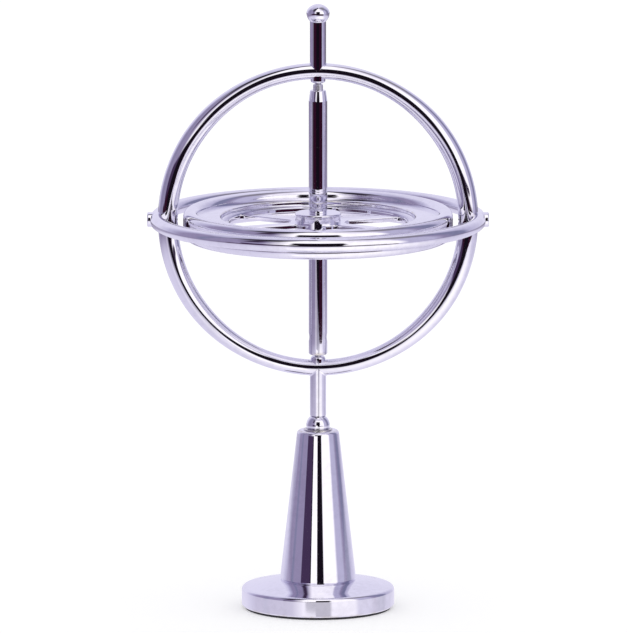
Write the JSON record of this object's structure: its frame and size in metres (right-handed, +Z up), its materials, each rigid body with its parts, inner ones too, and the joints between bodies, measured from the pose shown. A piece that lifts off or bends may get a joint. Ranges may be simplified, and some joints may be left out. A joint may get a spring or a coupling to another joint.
{
  "type": "gyroscope on stand",
  "caption": "Gyroscope with a spoked flywheel on an upright axle inside crossed round rings, its lower ball turning in the cup of a tapered pedestal on a round foot.",
  "frame": {"origin": "centre of the pad's underside, where the stand meets the table", "axes": "+Z up along the column and the axle, +X towards the right-hand ring rivet"},
  "size_m": [0.065, 0.0642, 0.1165],
  "materials": {
    "stand_chrome": "mirror polished, faint lavender cast",
    "frame_chrome": "mirror polished, faint lavender cast",
    "rotor_chrome": "polished, with fine turning marks",
    "hard_steel": "ground and hardened",
    "pad_rubber": "matte black sheet"
  },
  "bodies": {
    "stand": {"base_pad": "pad_rubber", "base_disc": "stand_chrome", "base_screw": "hard_steel", "column": "stand_chrome", "pivot_cup": "hard_steel"},
    "pivot": {"pivot_ball": "frame_chrome"},
    "frame": {"lower_stem": "frame_chrome", "upper_stem": "frame_chrome", "top_ball": "frame_chrome", "vertical_ring": "frame_chrome", "horizontal_ring": "frame_chrome", "ring_rivets": "frame_chrome", "upper_bearing": "frame_chrome", "lower_bearing": "frame_chrome"},
    "rotor": {"axle": "rotor_chrome", "upper_pivot": "hard_steel", "lower_pivot": "hard_steel", "hub": "rotor_chrome", "flywheel_web": "rotor_chrome", "flywheel_rim": "rotor_chrome"}
  },
  "joints": [
    {"name": "cup_turn", "type": "hinge", "parent": "stand", "child": "pivot", "pos_m": [0, 0, 0.03527], "axis": [0, 0, 1], "continuous": true},
    {"name": "stem_lean", "type": "hinge", "parent": "pivot", "child": "frame", "pos_m": [0, 0, 0.03527], "axis": [0, 1, 0], "range_deg": [-60, 60]},
    {"name": "flywheel_spin", "type": "hinge", "parent": "frame", "child": "rotor", "pos_m": [0, 0, 0.075], "axis": [0, 0, 1], "continuous": true}
  ]
}
